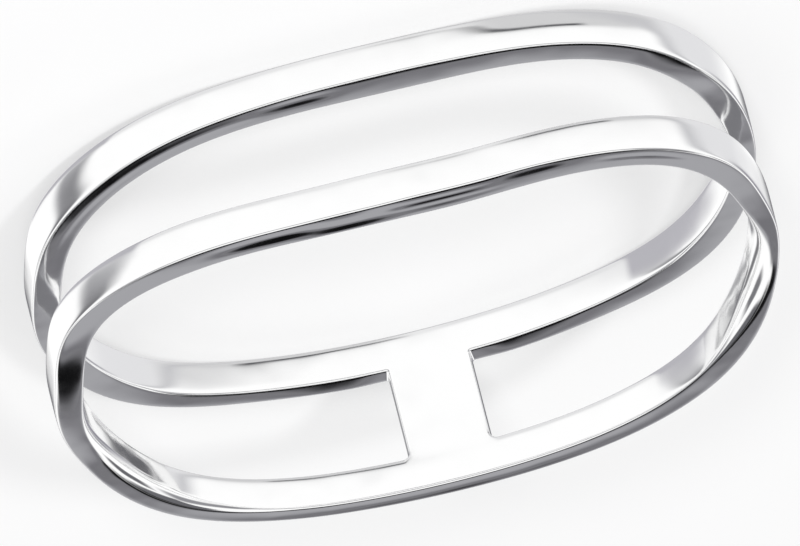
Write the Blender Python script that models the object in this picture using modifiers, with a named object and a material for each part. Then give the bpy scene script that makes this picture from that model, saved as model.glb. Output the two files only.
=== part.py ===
"""A double ring of polished silver: two slim bands side by side, joined by a short bridge at the back.

It lies on its side, as such a ring rests. The finger hole runs along Z, the face of the ring is towards -Y and
the bridge is towards +Y. Metres, +Z up, with the origin under the middle of the ring.
"""

import collections
import math

import bmesh
import bpy
import numpy as np

MM = 0.001

# The finger hole and the walls round it
HOLE_WIDTH = 17.2 * MM  # from side to side of the finger
FACE_WALL = 1.12 * MM  # how thick the bands are in the middle of the face
BACK_WALL = 0.69 * MM  # how thick they are behind the finger

# Along the finger: the ring is narrower at the sides of the finger, where the bands draw together
RING_WIDTH = 4.34 * MM  # over both bands, at the face and at the back
WAIST_WIDTH = 3.48 * MM  # over both bands, at the waist
SLOT_WIDTH = 2.5 * MM  # between the bands, at the face and at the back
WAIST_SLOT = 1.46 * MM  # between the bands, at the waist

# The bridge and the edges
BRIDGE_LENGTH = 2.08 * MM  # round the finger, between the ends of the slot
SLOT_CORNER = 0.2 * MM  # radius of the slot's corners
EDGE_ROUND = 0.08 * MM  # radius of the long edges

# Angles round the ring, in degrees from the middle of the face
WAIST_ANGLE = 76.0  # where the ring is narrowest along the finger
FACE_STRAIGHT = 7.5  # up to here the bands run straight across the face
BACK_STRAIGHT = 160.0  # from here they run straight to the bridge

COLUMNS = 46  # facets along half a band
EDGE_STEPS = 2  # facets across a rounded edge
CORNER_STEPS = 4  # facets round a corner of the slot

# The outline, from the middle of the face (0 degrees) to the middle of the back (180 degrees). hole is the
# distance from the centre as a share of half HOLE_WIDTH. wall is 1 for FACE_WALL and 0 for BACK_WALL, and below 0
# where the bands are thinner still.
Section = collections.namedtuple("Section", "angle hole wall")
SECTIONS = (
    Section(0, 0.900, 1.00),
    Section(15, 0.933, 0.96),
    Section(30, 1.021, 0.74),
    Section(45, 1.074, 0.38),
    Section(60, 1.059, 0.17),
    Section(75, 1.016, 0.03),
    Section(90, 0.999, -0.09),
    Section(105, 0.995, -0.04),
    Section(120, 1.009, 0.08),
    Section(135, 1.029, 0.04),
    Section(150, 1.013, 0.00),
    Section(165, 0.985, 0.00),
    Section(180, 0.973, 0.00),
)

BACK_RADIUS = SECTIONS[-1].hole * HOLE_WIDTH / 2
FACE_RADIUS = SECTIONS[0].hole * HOLE_WIDTH / 2
HALF_LENGTH = math.pi * BACK_RADIUS  # of the flat pattern, from the bridge's middle to the face's middle


def clear_scene():
    for obj in list(bpy.data.objects):
        bpy.data.objects.remove(obj, do_unlink=True)


def slopes(angles, values):
    """The slope at each row of the smoothest curve through the rows, level at both ends."""
    count = len(angles)
    steps = np.diff(angles)
    rises = np.diff(values) / steps
    matrix = np.eye(count)
    right = np.zeros(count)
    for i in range(1, count - 1):
        matrix[i, i - 1 : i + 2] = 1 / steps[i - 1], 2 / steps[i - 1] + 2 / steps[i], 1 / steps[i]
        right[i] = 3 * (rises[i - 1] / steps[i - 1] + rises[i] / steps[i])
    return np.linalg.solve(matrix, right)


def table_curve(column):
    """A function of the angle from the face that runs smoothly through one column of the table."""
    angles = np.array([section.angle for section in SECTIONS], dtype=float)
    values = np.array([getattr(section, column) for section in SECTIONS])
    tilts = slopes(angles, values)

    def value_at(angle):
        i = min(int(np.searchsorted(angles, angle, side="right")) - 1, len(angles) - 2)
        step = angles[i + 1] - angles[i]
        t = (angle - angles[i]) / step
        return (
            (1 + 2 * t) * (1 - t) ** 2 * values[i]
            + t * (1 - t) ** 2 * step * tilts[i]
            + t * t * (3 - 2 * t) * values[i + 1]
            - t * t * (1 - t) * step * tilts[i + 1]
        )

    return value_at


def ease(t):
    """0 to 1 along half a cosine wave."""
    t = min(max(t, 0.0), 1.0)
    return (1 - math.cos(math.pi * t)) / 2


def spread(angle):
    """1 where the bands are as far apart as at the face, and 0 at the waist."""
    if angle < WAIST_ANGLE:
        return ease((WAIST_ANGLE - angle) / (WAIST_ANGLE - FACE_STRAIGHT))
    return ease((angle - WAIST_ANGLE) / (BACK_STRAIGHT - WAIST_ANGLE))


def quarter_outline():
    """The flat pattern of half of one band and a quarter of the bridge, as (along, across) points."""
    slot_end = BRIDGE_LENGTH / 2
    slot_edge = SLOT_WIDTH / 2
    points = [(0.0, 0.0), (slot_end, 0.0)]
    for i in range(CORNER_STEPS + 1):
        turn = math.pi / 2 * i / CORNER_STEPS
        along = slot_end + SLOT_CORNER * (1 - math.cos(turn))
        across = slot_edge - SLOT_CORNER * (1 - math.sin(turn))
        points.append((along, across))
    points += [(HALF_LENGTH, slot_edge), (HALF_LENGTH, RING_WIDTH / 2), (0.0, RING_WIDTH / 2)]
    return points


def quarter_plate():
    """The flat pattern as a closed plate: z 0 is the finger side and z BACK_WALL the outside."""
    curve = bpy.data.curves.new("pattern", "CURVE")
    curve.dimensions = "2D"
    curve.fill_mode = "BOTH"
    curve.extrude = BACK_WALL / 2
    outline = quarter_outline()
    spline = curve.splines.new("POLY")
    spline.points.add(len(outline) - 1)
    for point, (along, across) in zip(spline.points, outline):
        point.co = (along, across, 0.0, 1.0)
    spline.use_cyclic_u = True
    pattern = bpy.data.objects.new("pattern", curve)
    pattern.location.z = BACK_WALL / 2
    bpy.context.collection.objects.link(pattern)
    bpy.context.view_layer.update()
    evaluated = pattern.evaluated_get(bpy.context.evaluated_depsgraph_get())
    mesh = bpy.data.meshes.new_from_object(evaluated)
    mesh.transform(pattern.matrix_world)
    bpy.data.objects.remove(pattern, do_unlink=True)
    return mesh


def on_mirror_plane(points):
    """Whether all the points lie on one of the planes where the quarters meet."""
    near = MM / 1000
    return (
        all(abs(p.x) < near for p in points)
        or all(abs(p.x - HALF_LENGTH) < near for p in points)
        or all(abs(p.y) < near for p in points)
    )


def round_edges(bm):
    """Rounds the long edges on the finger side and on the outside, along the band, the slot and the bridge."""
    long_edges = [
        edge
        for edge in bm.edges
        if abs(edge.verts[0].co.z - edge.verts[1].co.z) < BACK_WALL / 2
        and not on_mirror_plane([vert.co for vert in edge.verts])
        and edge.calc_face_angle(0.0) > math.radians(45)
    ]
    bmesh.ops.bevel(
        bm,
        geom=long_edges,
        offset=min(EDGE_ROUND, BACK_WALL * 0.45),
        segments=EDGE_STEPS,
        profile=0.5,
        affect="EDGES",
    )


def cut_columns(bm):
    """Cuts the plate across at even steps, so that it can follow the ring round."""
    first = BRIDGE_LENGTH / 2 + SLOT_CORNER
    cuts = [BRIDGE_LENGTH / 4, BRIDGE_LENGTH / 2]
    cuts += [first + (HALF_LENGTH - first) * i / COLUMNS for i in range(COLUMNS)]
    for along in cuts:
        geometry = bm.verts[:] + bm.edges[:] + bm.faces[:]
        bmesh.ops.bisect_plane(
            bm, geom=geometry, dist=MM / 100, plane_co=(along, 0, 0), plane_no=(1, 0, 0)
        )


def bend_round(bm):
    """Bends the flat plate round the finger: across becomes Z, and the finger side follows the hole."""
    hole_share = table_curve("hole")
    wall_share = table_curve("wall")
    flat_slot = SLOT_WIDTH / 2
    flat_band = RING_WIDTH / 2 - flat_slot
    for vert in bm.verts:
        along, across, depth = vert.co
        turn = along / BACK_RADIUS
        angle = min(max(180 - math.degrees(turn), 0.0), 180.0)
        wall = BACK_WALL + (FACE_WALL - BACK_WALL) * wall_share(angle)
        if depth > BACK_WALL / 2:
            depth += wall - BACK_WALL
        radius = hole_share(angle) * HOLE_WIDTH / 2 + depth
        slot = (WAIST_SLOT + (SLOT_WIDTH - WAIST_SLOT) * spread(angle)) / 2
        edge = (WAIST_WIDTH + (RING_WIDTH - WAIST_WIDTH) * spread(angle)) / 2
        if across < flat_slot:
            height = across * slot / flat_slot
        else:
            height = slot + (across - flat_slot) * (edge - slot) / flat_band
        vert.co = (radius * math.sin(turn), radius * math.cos(turn), height)


def quarter_ring():
    mesh = quarter_plate()
    bm = bmesh.new()
    bm.from_mesh(mesh)
    bmesh.ops.remove_doubles(bm, verts=bm.verts, dist=MM / 10000)
    bmesh.ops.dissolve_limit(bm, angle_limit=math.radians(1), verts=bm.verts, edges=bm.edges)
    bmesh.ops.recalc_face_normals(bm, faces=bm.faces)
    round_edges(bm)
    open_faces = [face for face in bm.faces if on_mirror_plane([vert.co for vert in face.verts])]
    bmesh.ops.delete(bm, geom=open_faces, context="FACES")
    cut_columns(bm)
    bend_round(bm)
    bmesh.ops.reverse_faces(bm, faces=bm.faces)  # across became Z, which turned the faces inwards
    bm.to_mesh(mesh)
    bm.free()
    return mesh


def silver():
    """Polished sterling silver."""
    material = bpy.data.materials.new("silver")
    material.use_nodes = True
    shader = material.node_tree.nodes["Principled BSDF"]
    shader.inputs["Base Color"].default_value = (0.93, 0.92, 0.91, 1.0)
    shader.inputs["Metallic"].default_value = 1.0
    shader.inputs["Roughness"].default_value = 0.08
    return material


def make_ring(collection):
    mesh = quarter_ring()
    mesh.name = "double_ring"
    mesh.materials.append(silver())
    mesh.shade_smooth()
    mesh.set_sharp_from_angle(angle=math.radians(40))
    ring = bpy.data.objects.new("double_ring", mesh)
    collection.objects.link(ring)
    halves = ring.modifiers.new("halves", "MIRROR")
    halves.use_axis = (True, False, True)
    halves.merge_threshold = MM / 100
    face_reach = FACE_RADIUS + FACE_WALL
    back_reach = BACK_RADIUS + BACK_WALL
    ring.location = (0.0, (face_reach - back_reach) / 2, RING_WIDTH / 2)
    return ring


def main():
    clear_scene()
    collection = bpy.data.collections.new("double ring")
    bpy.context.scene.collection.children.link(collection)
    make_ring(collection)


main()
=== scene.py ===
import math

import bmesh
import bpy
import numpy as np
from mathutils import Matrix, Vector


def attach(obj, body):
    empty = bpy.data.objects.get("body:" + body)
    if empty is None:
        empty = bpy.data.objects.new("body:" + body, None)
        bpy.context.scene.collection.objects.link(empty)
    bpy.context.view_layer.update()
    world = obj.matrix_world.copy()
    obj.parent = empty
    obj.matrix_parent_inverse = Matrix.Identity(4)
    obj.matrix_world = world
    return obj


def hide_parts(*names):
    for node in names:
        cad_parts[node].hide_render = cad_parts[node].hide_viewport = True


# The looks of the double ring, in metres. It lies on its side on a light table: the finger hole runs along
# Z, the face of the ring is towards -Y and the bridge is towards +Y.

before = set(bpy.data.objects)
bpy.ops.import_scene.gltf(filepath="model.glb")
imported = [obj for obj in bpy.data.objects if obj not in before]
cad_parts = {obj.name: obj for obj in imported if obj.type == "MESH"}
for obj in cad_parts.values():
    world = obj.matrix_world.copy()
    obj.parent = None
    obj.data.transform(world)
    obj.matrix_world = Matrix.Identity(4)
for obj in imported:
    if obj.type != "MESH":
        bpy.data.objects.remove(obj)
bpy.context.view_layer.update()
print("frame loaded")

mm = 0.001
hair = 0.00001 * mm  # what lies closer together than this is in one place


def selectNothing():
    if bpy.context.object and bpy.context.object.mode != "OBJECT":
        bpy.ops.object.mode_set(mode="OBJECT")
    bpy.ops.object.select_all(action="DESELECT")


def workOn(piece):
    selectNothing()
    piece.select_set(True)
    bpy.context.view_layer.objects.active = piece


def editMode(piece):
    workOn(piece)
    bpy.ops.object.mode_set(mode="EDIT")


def applyModifier(piece, modifier):
    workOn(piece)
    bpy.ops.object.modifier_apply(modifier=modifier.name)


# in edit mode, selects the faces or the edges for which test is true, and nothing else
def pick(piece, kind, test):
    mesh = bmesh.from_edit_mesh(piece.data)
    chosen = [part for part in getattr(mesh, kind) if test(part)]
    for vert in mesh.verts:
        vert.select_set(False)
    mesh.select_flush(False)
    for part in chosen:
        part.select_set(True)
    bmesh.update_edit_mesh(piece.data)


# Sizes in mm. Angles go round the finger from the middle of the face: 90 is the side towards +X, 180 the
# bridge. The hole and the wall are given every 15 degrees on lines from the ring's middle. These two lists
# weren't chosen by hand: a program fitted them to the outline in the photo.
ring = {
    "hole": [7.77, 8.13, 8.83, 9.21, 9.07, 8.69, 8.60, 8.57, 8.71, 8.87, 8.70, 8.45,
             8.37, 8.50, 8.73, 8.82, 8.64, 8.52, 8.59, 8.76, 9.12, 9.27, 8.74, 7.96],
    "wall": [1.09, 1.05, 0.97, 0.85, 0.79, 0.75, 0.73, 0.75, 0.78, 0.70, 0.64, 0.65,
             0.69, 0.74, 0.77, 0.77, 0.74, 0.64, 0.60, 0.70, 0.76, 0.86, 1.04, 1.11],
    "width": 4.34,  # over both bands, at the face and at the back
    "waistWidth": 3.48,  # over both bands, where they draw together
    "slot": 2.5,  # between the bands, at the face and at the back
    "waistSlot": 1.46,  # between the bands, where they draw together
    "waistAngle": 76,
    "straightFace": 7.5,  # the bands run straight up to this angle
    "straightBack": 160,  # and from this one on
    "bridge": 2.08,  # round the finger, between the ends of the slot
    "slotCorner": 0.2,  # radius of the slot's corners at the upper band
    "tightCorner": 0.07,  # and at the lower band, where they are sharper
    "edge": 0.05,  # radius of the long edges
}


# the smoothest closed curve through values at even steps of a full turn, as a function of the angle
def roundCurve(values):
    count = len(values)
    step = 360 / count
    y = np.array(values, float)
    rows = np.zeros((count, count))
    for i in range(count):
        rows[i, [i - 1, i, (i + 1) % count]] = 1, 4, 1
    slope = np.linalg.solve(rows, 3 * (np.roll(y, -1) - np.roll(y, 1)))

    def valueAt(angle):
        i, t = divmod(np.asarray(angle, float) / step, 1)
        a = i.astype(int) % count
        b = (a + 1) % count
        return ((1 + 2 * t) * (1 - t) ** 2 * y[a] + t * (1 - t) ** 2 * slope[a]
                + t * t * (3 - 2 * t) * y[b] - t * t * (1 - t) * slope[b])

    return valueAt


holeAt = roundCurve(ring["hole"])
wallAt = roundCurve(ring["wall"])
faceReach = float(holeAt(0) + wallAt(0))
backReach = float(holeAt(180) + wallAt(180))
ringMiddle = Vector((0, (faceReach - backReach) / 2 * mm, ring["width"] / 2 * mm))

# the inside of the ring as a closed line, once round from the middle of the face
turns = np.linspace(0, 360, 1441)
lineX = holeAt(turns) * np.sin(np.radians(turns))
lineY = -holeAt(turns) * np.cos(np.radians(turns))
along = np.concatenate([[0], np.cumsum(np.hypot(np.diff(lineX), np.diff(lineY)))])
bridgeAt = along[len(turns) // 2]
roundLength = along[-1]

# square to that line the wall is thinner, by this share, than on a line from the middle
stepX, stepY = np.gradient(lineX), np.gradient(lineY)
squareShare = np.abs(stepX * lineY - stepY * lineX) / np.hypot(stepX, stepY) / np.hypot(lineX, lineY)


def ease(t):
    return (1 - math.cos(math.pi * min(max(t, 0), 1))) / 2


# 1 where the bands are furthest apart and 0 at the waist
def spread(angle):
    angle = min(angle, 360 - angle)
    if angle < ring["waistAngle"]:
        return ease((ring["waistAngle"] - angle) / (ring["waistAngle"] - ring["straightFace"]))
    return ease((angle - ring["waistAngle"]) / (ring["straightBack"] - ring["waistAngle"]))


# from the middle between the bands to the slot's edge and to the ring's edge
def halfWidths(angle):
    share = spread(angle)
    inner = ring["waistSlot"] + (ring["slot"] - ring["waistSlot"]) * share
    outer = ring["waistWidth"] + (ring["width"] - ring["waistWidth"]) * share
    return inner / 2, outer / 2


# The ring is modelled flat, as a strip along X with its outside towards -Y, and then bent round.
strip = {
    "bandFaces": 4,  # across each band
    "wallFaces": 4,  # through the wall
    "sections": 42,  # along half of the ring
    "firstSection": 1.4,  # how far from the slot's end, in radii of its corner
    "sharp": math.radians(60),  # edges that turn more than this are rounded
    "cornerFaces": 5,
    "edgeFaces": 2,
    "smoothing": 2,  # subdivision levels
    "seam": 0.002,  # mm, within which the strip's two ends meet in the middle of the face
}


# moves the selected end of the strip to a distance along it, with the ring's wall and widths at that place
def placeSection(piece, distance):
    angle = float(np.interp(distance, along, turns))
    wall = float(wallAt(angle) * np.interp(distance, along, squareShare))
    inner, outer = halfWidths(angle)
    mesh = bmesh.from_edit_mesh(piece.data)
    row, column = mesh.verts.layers.int["row"], mesh.verts.layers.int["column"]
    for vert in mesh.verts:
        if not vert.select:
            continue
        z = 0
        if vert[row]:
            share = (abs(vert[row]) - 1) / strip["bandFaces"]
            z = math.copysign(inner + (outer - inner) * share, vert[row])
        vert.co = (distance * mm, -wall * vert[column] / strip["wallFaces"] * mm, z * mm)
    bmesh.update_edit_mesh(piece.data)


# The section in the middle of the bridge. Rows count from 0 between the bands, 1 at the slot's edge, and
# are negative in the lower band; columns count from 0 at the finger.
def sectionStart():
    halfRows = strip["bandFaces"] + 1
    selectNothing()
    bpy.ops.mesh.primitive_grid_add(x_subdivisions=strip["wallFaces"], y_subdivisions=2 * halfRows, size=2)
    piece = bpy.context.object
    piece.name = "silver_ring"
    piece.data.name = "silver_ring"
    editMode(piece)
    mesh = bmesh.from_edit_mesh(piece.data)
    row = mesh.verts.layers.int.new("row")
    column = mesh.verts.layers.int.new("column")
    for vert in mesh.verts:
        vert[row] = round(vert.co.y * halfRows)
        vert[column] = round((vert.co.x + 1) * strip["wallFaces"] / 2)
    bmesh.update_edit_mesh(piece.data)
    bpy.ops.mesh.select_all(action="SELECT")
    placeSection(piece, bridgeAt)
    return piece


# whether a face or an edge stands across the strip at one of these places along it
def standsAt(part, *places):
    return any(all(abs(vert.co.x - place) < hair for vert in part.verts) for place in places)


def isBridge(face, row):
    return all(abs(vert[row]) <= 1 for vert in face.verts)


# the ring laid out flat, cut open in the middle of the face
def makeStrip():
    piece = sectionStart()
    halfBridge = ring["bridge"] / 2
    first = halfBridge + ring["slotCorner"] * strip["firstSection"]
    for way, last in ((1, roundLength - bridgeAt), (-1, bridgeAt)):
        pick(piece, "faces", lambda face: standsAt(face, bridgeAt * mm))
        for distance in (halfBridge / 2, halfBridge):
            bpy.ops.mesh.extrude_region_move()
            placeSection(piece, bridgeAt + way * distance)
        row = bmesh.from_edit_mesh(piece.data).verts.layers.int["row"]
        slotEnd = (bridgeAt + way * halfBridge) * mm
        pick(piece, "faces", lambda face: standsAt(face, slotEnd) and not isBridge(face, row))
        for distance in np.linspace(first, last, strip["sections"] + 1):
            bpy.ops.mesh.extrude_region_move()
            placeSection(piece, bridgeAt + way * float(distance))
    pick(piece, "faces", lambda face: standsAt(face, 0, roundLength * mm))
    bpy.ops.mesh.delete(type="FACE")
    bpy.ops.mesh.select_all(action="SELECT")
    bpy.ops.mesh.normals_make_consistent(inside=False)
    return piece


def isSharp(edge):
    return len(edge.link_faces) == 2 and edge.calc_face_angle(0) > strip["sharp"]


# whether an edge is a corner of the slot, through the wall: side is 1 for the upper band and -1 for the
# lower one
def isCorner(edge, side):
    halfBridge = ring["bridge"] / 2
    start, end = (vert.co for vert in edge.verts)
    return (isSharp(edge) and abs(start.z - end.z) < hair and start.z * side > 0
            and standsAt(edge, (bridgeAt + halfBridge) * mm, (bridgeAt - halfBridge) * mm))


def roundEdges(piece):
    for side, corner in ((1, "slotCorner"), (-1, "tightCorner")):
        pick(piece, "edges", lambda edge: isCorner(edge, side))
        bpy.ops.mesh.bevel(offset=ring[corner] * mm, segments=strip["cornerFaces"], affect="EDGES",
                           clamp_overlap=False)
    pick(piece, "edges", isSharp)
    bpy.ops.mesh.bevel(offset=ring["edge"] * mm, segments=strip["edgeFaces"], affect="EDGES",
                       clamp_overlap=False)
    bpy.ops.object.mode_set(mode="OBJECT")
    smooth = piece.modifiers.new("smooth", "SUBSURF")
    smooth.levels = smooth.render_levels = strip["smoothing"]
    applyModifier(piece, smooth)


# How the faces depart from flat ones, as after polishing by hand. It was chosen from the way that
# the ring mirrors its surroundings. Outside and Inside are a band's faces away from the finger and towards
# it, and Side is its face that looks up. crown is how far a face leans at its edges, in degrees. A hollow is
# a shallow dip in a face: which face, the angle in its middle and how far it reaches round, where it is
# across the face (0 to 1, from the inside out or from the lower edge up) and how far it reaches across, and
# its depth in mm (a negative one stands out). rounded is where the upper band's inner edge is rubbed round:
# angle, reach and radius in mm.
polish = {
    "crown": {"Outside": 1.0, "Side": 1.6, "Inside": 1.0},
    "hollows": [
        ("upperSide", 56, 25, 0.5, 1.5, 0.1),
        ("upperSide", 85, 25, 0.5, 1.5, -0.12),
        ("upperSide", 118, 42, -0.5, 2.0, -0.06),
        ("upperSide", -116, 42, -0.5, 2.0, -0.05),
        ("upperSide", 180, 75, 0.5, 1.0, 0.04),
        ("upperSide", 20, 14, 0.62, 0.36, 0.024),
        ("upperSide", 8, 12, 0.4, 0.36, 0.026),
        ("upperSide", 2, 9, 1.0, 0.3, -0.014),
        ("upperSide", -9, 14, 0.66, 0.15, 0.011),
        ("upperSide", -9, 14, 0.36, 0.15, 0.009),
        ("upperSide", -25, 8, 0.85, 0.3, 0.014),
        ("upperSide", -42, 9, 0.62, 0.16, 0.012),
        ("lowerSide", 38, 36, 0.56, 0.22, -0.009),
        ("lowerSide", 38, 34, 0.9, 0.22, 0.008),
        ("lowerSide", 12, 12, 0.66, 0.3, 0.014),
        ("lowerSide", 48, 42, 1.5, 2.0, -0.08),
        ("lowerSide", -52, 40, 1.5, 2.0, -0.06),
        ("lowerSide", -54, 9, 0.7, 1.4, -0.03),
        ("lowerSide", -66, 9, 0.3, 1.4, 0.03),
        ("lowerSide", -76, 11, 0.3, 1.4, 0.02),
        ("lowerSide", 118, 44, 1.5, 2.0, -0.1),
        ("lowerSide", -118, 44, 1.5, 2.0, -0.1),
        ("lowerSide", 165, 18, 1.5, 2.0, -0.04),
        ("lowerSide", -165, 18, 1.5, 2.0, -0.04),
        ("lowerOutside", -34, 20, -0.1, 0.65, 0.05),
        ("lowerOutside", 46, 14, 1.0, 0.9, 0.02),
        ("upperOutside", -72, 16, 1.5, 2.0, 0.09),
        ("upperOutside", 46, 14, 1.0, 0.9, 0.02),
        ("upperOutside", 44, 14, 0.0, 0.9, 0.02),
        ("upperInside", -134, 18, -0.5, 2.0, 0.06),
        ("lowerInside", 124, 48, -0.5, 2.0, 0.06),
        ("lowerInside", -122, 50, -0.5, 2.0, 0.09),
    ],
    "rounded": [(116, 44, 0.36), (-102, 36, 0.6)],
    "besideBridge": 1.0,  # mm from the bridge, over which the lower band's side face fades in to its polish
}


# 1 in the middle of a hollow and 0 from its rim on, along a cosine wave
def dip(away, reach):
    return (1 + np.cos(np.pi * np.clip(np.abs(away) / reach, 0, 1))) / 2


# the shorter way round from one angle to another, from -180 to 180 degrees
def turnFrom(middle, angle):
    return (angle - middle + 180) % 360 - 180


# how far a face stands out, in mm, at an angle and a share of its width
def standsOut(face, angle, share, width):
    kind = face.removeprefix("upper").removeprefix("lower")
    out = np.tan(np.radians(polish["crown"][kind])) * width * share * (1 - share)
    for name, middle, reach, across, reachAcross, depth in polish["hollows"]:
        if name == face:
            out = out - depth * dip(turnFrom(middle, angle), reach) * dip(share - across, reachAcross)
    return out


# rubs the upper band's inner edge round: the square corner of its section is laid on a quarter of a disc
def rubRound(angle, edge, y, z):
    least = 0.000001  # mm, so that nothing is divided by 0
    for middle, reach, radius in polish["rounded"]:
        size = np.maximum(radius * dip(turnFrom(middle, angle), reach), least)
        inwards = np.clip(1 + y / size, 0, 1)
        upwards = np.clip(1 - (edge - z) / size, 0, 1)
        corner = (inwards > 0) & (upwards > 0)
        y = np.where(corner, size * (inwards * np.sqrt(1 - upwards * upwards / 2) - 1), y)
        z = np.where(corner, edge + size * (upwards * np.sqrt(1 - inwards * inwards / 2) - 1), z)
    return y, z


# gives the flat strip its polished faces
def polishFaces(piece):
    places = np.empty(len(piece.data.vertices) * 3)
    piece.data.vertices.foreach_get("co", places)
    x, y, z = places.reshape(-1, 3).T / mm
    angle = np.interp(x, along, turns)
    wall = wallAt(angle) * np.interp(x, along, squareShare)
    sections = np.array([halfWidths(float(turn)) for turn in turns])
    inner, outer = (np.interp(angle, turns, sections[:, i]) for i in (0, 1))
    width = outer - inner
    through = np.clip(-y / wall, 0, 1)  # 0 at the finger, 1 at the outside
    over = np.clip((np.abs(z) - inner) / width, 0, 1)  # 0 at the slot, 1 at the ring's edge
    fromBridge = np.maximum(np.abs(x - bridgeAt) - ring["bridge"] / 2, 0)
    fadeIn = {"upper": 1, "lower": 1 - dip(fromBridge, polish["besideBridge"])}
    moveY, moveZ = np.zeros_like(y), np.zeros_like(z)
    for band, there in (("upper", z > 0), ("lower", z <= 0)):
        height = over if band == "upper" else 1 - over
        outside = standsOut(band + "Outside", angle, height, width) * through
        inside = standsOut(band + "Inside", angle, height, width) * (1 - through)
        side = standsOut(band + "Side", angle, through, wall) * height * fadeIn[band]
        moveY = np.where(there, inside - outside, moveY)
        moveZ = np.where(there, side, moveZ)
    y, z = rubRound(angle, outer, y, z)
    polished = np.stack([x, y + moveY, z + moveZ], 1) * mm
    piece.data.vertices.foreach_set("co", polished.ravel())
    piece.data.update()


# bends the strip round the finger and joins its ends in the middle of the face
def bendRound(piece):
    line = bpy.data.curves.new("finger side", "CURVE")
    line.dimensions = "3D"
    line.twist_mode = "Z_UP"
    spline = line.splines.new("POLY")
    spline.points.add(len(turns) - 2)
    for point, x, y in zip(spline.points, lineX, lineY):
        point.co = (x * mm, y * mm, 0, 1)
    spline.use_cyclic_u = True
    guide = bpy.data.objects.new("finger side", line)
    bpy.context.scene.collection.objects.link(guide)
    bend = piece.modifiers.new("bend", "CURVE")
    bend.object = guide
    bend.deform_axis = "POS_X"
    applyModifier(piece, bend)
    bpy.data.objects.remove(guide, do_unlink=True)
    piece.data.transform(Matrix.Translation(ringMiddle))
    editMode(piece)
    bpy.ops.mesh.select_all(action="SELECT")
    bpy.ops.mesh.remove_doubles(threshold=strip["seam"] * mm)
    bpy.ops.mesh.normals_make_consistent(inside=False)
    bpy.ops.mesh.faces_shade_smooth()
    bpy.ops.object.mode_set(mode="OBJECT")


def makeRing():
    piece = makeStrip()
    roundEdges(piece)
    polishFaces(piece)
    bendRound(piece)
    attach(piece, "root")
    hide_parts("double_ring")
    return piece


silverRing = makeRing()
print("ring modelled:", len(silverRing.data.polygons), "faces")


# the linear colour that nodes take, from an sRGB one in hex
def linear(hexColour):
    channels = [int(hexColour[i:i + 2], 16) / 255 for i in (1, 3, 5)]
    return [c / 12.92 if c <= 0.04045 else ((c + 0.055) / 1.055) ** 2.4 for c in channels] + [1.0]


# adds a node with its settings; an input is a value or another node's output
def addNode(tree, kind, inputs=None, **settings):
    node = tree.nodes.new(kind)
    for name, value in settings.items():
        setattr(node, name, value)
    for name, value in (inputs or {}).items():
        if isinstance(value, bpy.types.NodeSocket):
            tree.links.new(value, node.inputs[name])
        else:
            node.inputs[name].default_value = value
    return node


# Sterling silver, cast, filed and then buffed by hand: a bright, almost sharp mirror in which straight
# lines run a little wavy. The lines that buffing leaves are some thousandths of a millimetre wide, too fine
# to show, so their work is drawn as coarse as it needs to show: soft waves about 1.4 mm long and spots of
# duller shine half as long.
silverFinish = {
    "colour": "#F5F5F5",
    "wavesPerMm": 0.7,
    "waveHeight": 0.012,  # mm
    "spotsPerMm": 1.5,
    "spotsRange": (0.3, 0.7),  # the noise seldom goes below or above these
    "roughness": (0.05, 0.1),
}


def makeSilver():
    silver = bpy.data.materials.new("polished sterling silver")
    silver.use_nodes = True
    tree = silver.node_tree
    shader = tree.nodes["Principled BSDF"]
    shader.inputs["Base Color"].default_value = linear(silverFinish["colour"])
    shader.inputs["Metallic"].default_value = 1
    place = addNode(tree, "ShaderNodeTexCoord").outputs["Object"]
    waves = addNode(tree, "ShaderNodeTexNoise", {
        "Vector": place, "Scale": silverFinish["wavesPerMm"] / mm, "Detail": 1.0}).outputs[0]
    spots = addNode(tree, "ShaderNodeTexNoise", {
        "Vector": place, "Scale": silverFinish["spotsPerMm"] / mm}).outputs[0]
    low, high = silverFinish["spotsRange"]
    smoothest, dullest = silverFinish["roughness"]
    shine = addNode(tree, "ShaderNodeMapRange", {
        "Value": spots, "From Min": low, "From Max": high, "To Min": smoothest, "To Max": dullest})
    bump = addNode(tree, "ShaderNodeBump", {
        "Height": waves, "Strength": 1.0, "Distance": silverFinish["waveHeight"] * mm})
    tree.links.new(shine.outputs["Result"], shader.inputs["Roughness"])
    tree.links.new(bump.outputs["Normal"], shader.inputs["Normal"])
    return silver


silverRing.data.materials.clear()
silverRing.data.materials.append(makeSilver())
print("silver made")

# The camera is at the photo's angle to the ring: in front of the face and above the plane of the bands, and
# rolled over so that the bridge is at the bottom of the picture. Its angles, its scale and the ring's place
# in the picture were fitted to the outline in the photo.
view = {
    "above": 24.6,  # degrees
    "roll": 14.36,  # degrees
    "picture": (800, 546),  # pixels
    "pixelsPerMm": 40.177,
    "middleAt": (405.52, 270.76),  # where the ring's middle shows, in pixels from the top left
    "distance": 620,  # mm, so far off that the ring shows hardly any perspective, as in the photo
    "sensor": 36,  # mm
    "clip": (0.1, 20),  # metres
}


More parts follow.
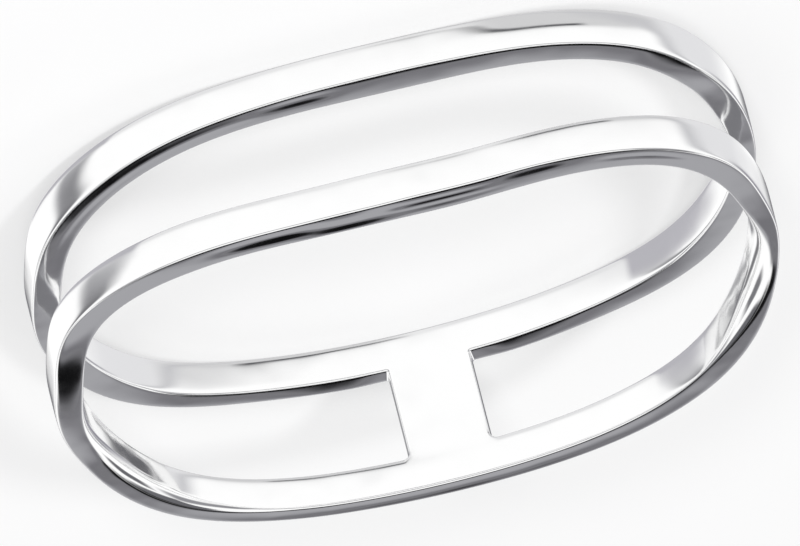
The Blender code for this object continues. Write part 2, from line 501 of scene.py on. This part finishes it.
def placeCamera():
    above, roll = math.radians(view["above"]), math.radians(view["roll"])
    towards = Vector((0, -math.cos(above), math.sin(above)))
    level = Vector((-1, 0, 0))
    down = Vector((0, -math.sin(above), -math.cos(above)))
    right = math.cos(roll) * level - math.sin(roll) * down
    up = math.sin(roll) * level + math.cos(roll) * down
    perMm = view["pixelsPerMm"]
    pixelsRight = view["picture"][0] / 2 - view["middleAt"][0]
    pixelsDown = view["picture"][1] / 2 - view["middleAt"][1]
    aim = ringMiddle + right * (pixelsRight / perMm * mm) - up * (pixelsDown / perMm * mm)
    place = aim + towards * view["distance"] * mm
    data = bpy.data.cameras.new("camera")
    data.sensor_width = view["sensor"]
    data.lens = perMm * view["distance"] * view["sensor"] / view["picture"][0]
    data.clip_start, data.clip_end = view["clip"]
    camera = bpy.data.objects.new("camera", data)
    camera.matrix_world = Matrix((
        (right.x, up.x, towards.x, place.x),
        (right.y, up.y, towards.y, place.y),
        (right.z, up.z, towards.z, place.z),
        (0, 0, 0, 1)))
    bpy.context.scene.collection.objects.link(camera)
    bpy.context.scene.camera = camera


placeCamera()
print("camera placed")

# The ring lies on a light table of cast opal acrylic with a matt face. It glows evenly from below and
# mirrors nothing, so it is an even white on which shadows stay faint.
table = {
    "size": 6.0,  # metres across
    "colour": "#B3B3B3",
    "light": "#FFFFFF",
    "glow": 0.453,
}


def makeTable():
    selectNothing()
    bpy.ops.mesh.primitive_plane_add(size=table["size"])
    floor = bpy.context.object
    floor.name = "floor"
    acrylic = bpy.data.materials.new("matt opal acrylic")
    acrylic.use_nodes = True
    shader = acrylic.node_tree.nodes["Principled BSDF"]
    shader.inputs["Base Color"].default_value = linear(table["colour"])
    shader.inputs["Roughness"].default_value = 1
    shader.inputs["Specular IOR Level"].default_value = 0
    shader.inputs["Emission Color"].default_value = linear(table["light"])
    shader.inputs["Emission Strength"].default_value = table["glow"]
    floor.data.materials.append(acrylic)
    floor.visible_glossy = False  # the ring mirrors the tent's papers in its place


makeTable()
print("light table made")

# Two soft lamps throw the ring's faint shadows on the table. Each place is the height above it and the turn
# round from the front of the face, in degrees, and the power in watts.
lamps = {
    "places": [(20, 4, 1.8), (34, -34, 1.3)],
    "distance": 0.6,  # metres
    "size": 0.09,  # metres
}


def placeLamps():
    for height, side, watts in lamps["places"]:
        data = bpy.data.lights.new("softbox", "AREA")
        data.shape = "DISK"
        data.size = lamps["size"]
        data.energy = watts
        softbox = bpy.data.objects.new("softbox", data)
        turn = (Matrix.Rotation(math.radians(side), 4, "Z")
                @ Matrix.Rotation(math.pi / 2 - math.radians(height), 4, "X"))
        softbox.matrix_world = turn @ Matrix.Translation((0, 0, lamps["distance"]))
        softbox.visible_glossy = softbox.visible_camera = False
        bpy.context.scene.collection.objects.link(softbox)


placeLamps()
print("lamps placed")

# The studio is a white tent, which lights the ring and the table and which the ring mirrors. Its patches
# are where the ring needs them to look as it does in the photo. Each is a paper, a darker cloth or card, or
# a shade on them: name, azimuth from and to, softness, elevation from and to, softness, how many degrees it
# leans round for each degree up, and its colour. Azimuth 0 is in front of the face and grows towards -X;
# elevation 90 is overhead. A leaning patch has its azimuths as far below the horizon as the camera is above.
tent = {
    "white": "#FFFFFF",
    "strength": 1.1,
    "patches": [
        ("paper on the right", 5, 165, 12, -100, -27, 3, 0, "#CFCFD0"),
        ("paper on the left", -170, 3, 12, -100, -28.5, 3, 0, "#E2E2E3"),
        ("shade on the paper", -150, -71, 3, -100, -27.5, 1.5, 0, "#B5B4BA"),
        ("shade of the ring", 166, 194, 7, -100, -8, 5, 0, "#7A7A7E"),
        ("strip on the left", -112, -84, 8, -27.5, 5, 2, -3, "#A6A6A9"),
        ("dark strip on the left", -108, -86, 7, -23.5, 5, 2.5, -3, "#77777A"),
        ("cloth on the right", 104, 150, 12, -50, -19, 6, 0, "#E0E0E2"),
        ("dark cloth on the right", 134, 172, 10, -22.5, 5, 2, 0, "#908F97"),
        ("strip on the right", 99, 110, 8, -60, 5, 6, 3, "#C2C2C5"),
        ("side cloth on the right", 62, 112, 6, 14, 40, 5, 0, "#909094"),
        ("side cloth on the left", -112, -62, 6, 14, 40, 5, 0, "#909094"),
        ("front of the tent", -80, 80, 14, 6, 28, 6, 0, "#8A8A8D"),
        ("edge of the paper", 8, 52, 5, -32, -28.5, 1.2, 0, "#5A5A5D"),
        ("dark cloth high on the right", 114, 170, 3, 37, 58, 2, 0, "#66666A"),
        ("dark cloth high on the left", 191, 244, 3, 38, 58, 2, 0, "#66666A"),
        ("black cloth behind", 170, 191, 3, 27.5, 58, 1.5, 0, "#101011"),
        ("black cloth on the right", 162, 170, 4, 35, 58, 2, 0, "#101011"),
        ("black cloth on the left", 191, 199, 4, 35, 58, 2, 0, "#101011"),
        ("grey card on the right", 122, 146, 5, 19, 31, 2, 0, "#66666A"),
        ("grey card on the left", 216, 238, 5, 15, 27, 2, 0, "#77777B"),
        ("grey card behind", 164, 195, 5, 9, 28.5, 2.5, 0, "#A1A1A5"),
        ("shade on the card", 164, 195, 5, 24.5, 28.5, 3.5, 0, "#5C5B60"),
    ],
}

# where a Mix node has its two colours and their mixture; its other sockets take numbers and vectors
colourSockets = {"under": 6, "over": 7, "mixture": 2}


# 0 up to start and 1 from end on, or the other way round if end is the lower one
def smoothStep(tree, value, start, end):
    return addNode(tree, "ShaderNodeMapRange", {"Value": value, "From Min": start, "From Max": end},
                   interpolation_type="SMOOTHSTEP").outputs["Result"]


def calculate(tree, operation, *values):
    return addNode(tree, "ShaderNodeMath", dict(enumerate(values)), operation=operation).outputs[0]


def makeTent():
    world = bpy.data.worlds.new("tent")
    world.use_nodes = True
    bpy.context.scene.world = world
    tree = world.node_tree
    direction = addNode(tree, "ShaderNodeTexCoord").outputs["Generated"]
    x, y, z = addNode(tree, "ShaderNodeSeparateXYZ", {"Vector": direction}).outputs
    minusX = calculate(tree, "MULTIPLY", x, -1.0)
    minusY = calculate(tree, "MULTIPLY", y, -1.0)
    azimuth = calculate(tree, "DEGREES", calculate(tree, "ARCTAN2", minusX, minusY))
    elevation = calculate(tree, "DEGREES", calculate(tree, "ARCSINE", z))
    colour = linear(tent["white"])
    for name, start, end, soft, low, high, softUp, slant, hexColour in tent["patches"]:
        levelMiddle = (start + end) / 2 + slant * view["above"]
        middle = calculate(tree, "MULTIPLY_ADD", elevation, float(slant), levelMiddle)
        fromMiddle = calculate(tree, "WRAP", calculate(tree, "SUBTRACT", azimuth, middle), 180.0, -180.0)
        away = calculate(tree, "ABSOLUTE", fromMiddle)
        half = (end - start) / 2
        beside = smoothStep(tree, away, half + soft, half - soft)
        above = smoothStep(tree, elevation, low - softUp, low + softUp)
        below = smoothStep(tree, elevation, high + softUp, high - softUp)
        share = calculate(tree, "MULTIPLY", beside, calculate(tree, "MULTIPLY", above, below))
        mix = addNode(tree, "ShaderNodeMix", {
            "Factor": share, colourSockets["under"]: colour, colourSockets["over"]: linear(hexColour)},
            data_type="RGBA")
        mix.label = name
        colour = mix.outputs[colourSockets["mixture"]]
    background = tree.nodes["Background"]
    tree.links.new(colour, background.inputs["Color"])
    background.inputs["Strength"].default_value = tent["strength"]


makeTent()
print("tent made")
bpy.context.scene.view_settings.view_transform = "Standard"
